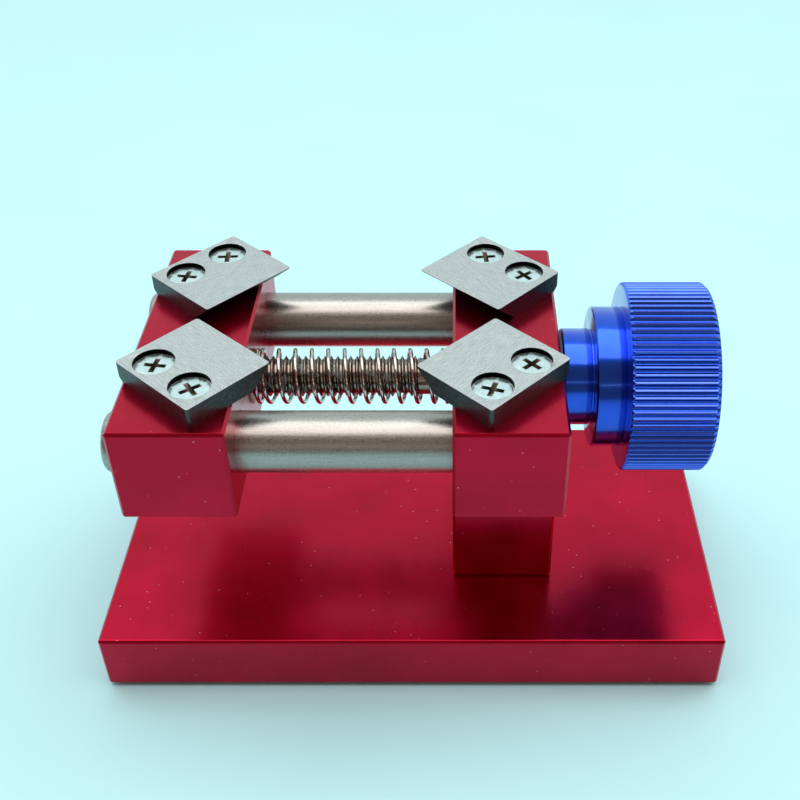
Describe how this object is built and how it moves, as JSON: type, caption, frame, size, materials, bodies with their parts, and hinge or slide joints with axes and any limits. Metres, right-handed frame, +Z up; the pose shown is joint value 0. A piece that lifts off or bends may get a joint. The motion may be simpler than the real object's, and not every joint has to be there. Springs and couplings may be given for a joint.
{
  "type": "screw-driven watch bezel vice",
  "caption": "Bench tool that grips a watch bezel between bevelled knife-edge blades on two jaws; a knurled knob drives the sliding jaw along guide rods.",
  "frame": {"origin": "centre of the footprint, on the surface the tool stands on (underside of the rubber pad)", "axes": "+X along the lead screw towards the knob, +Y towards the back of the tool, +Z up"},
  "size_m": [0.122, 0.0642, 0.0722],
  "materials": {
    "red_anodised": "satin red anodised, sawn and milled block with broken edges",
    "blue_anodised": "bright blue anodised, turned, straight knurl",
    "guide_rod_steel": "ground and polished round bar",
    "lead_screw_steel": "cut thread, lightly oiled",
    "spring_wire": "bright drawn spring wire",
    "blade_steel": "surface-ground hardened steel, dark edges",
    "screw_zinc": "clear zinc plate",
    "black_oxide": "black oxide",
    "washer_nylon": "black nylon",
    "rubber_pad": "matt black sheet rubber"
  },
  "bodies": {
    "fixed_frame": {"base_plate": "red_anodised", "anti_slip_pad": "rubber_pad", "riser_block": "red_anodised", "fixed_jaw": "red_anodised", "guide_rod_front": "guide_rod_steel", "guide_rod_back": "guide_rod_steel", "rod_screw_front": "black_oxide", "rod_screw_back": "black_oxide", "riser_screw_front": "black_oxide", "riser_screw_back": "black_oxide", "thrust_washer": "washer_nylon", "return_spring": "spring_wire", "blade_back_right": "blade_steel", "blade_front_right": "blade_steel", "blade_screw_back_right_1": "screw_zinc", "blade_screw_back_right_2": "screw_zinc", "blade_screw_front_right_1": "screw_zinc", "blade_screw_front_right_2": "screw_zinc"},
    "jaw_carriage": {"sliding_jaw": "red_anodised", "blade_front_left": "blade_steel", "blade_back_left": "blade_steel", "blade_screw_front_left_1": "screw_zinc", "blade_screw_front_left_2": "screw_zinc", "blade_screw_back_left_1": "screw_zinc", "blade_screw_back_left_2": "screw_zinc"},
    "screw_and_knob": {"lead_screw": "lead_screw_steel", "thumb_knob": "blue_anodised", "knob_grub_screw": "black_oxide"}
  },
  "joints": [
    {"name": "knob_turn", "type": "hinge", "parent": "fixed_frame", "child": "screw_and_knob", "pos_m": [0.0485, 0, 0.054], "axis": [-1, 0, 0], "range_deg": [0, 7201]},
    {"name": "jaw_slide", "type": "slide", "parent": "fixed_frame", "child": "jaw_carriage", "axis": [1, 0, 0], "range_m": [0, 0.025], "deforming": ["return_spring"]}
  ],
  "couplings": [
    {"joint": "knob_turn", "follows": "jaw_slide", "rad_per_m": 5026.5}
  ]
}
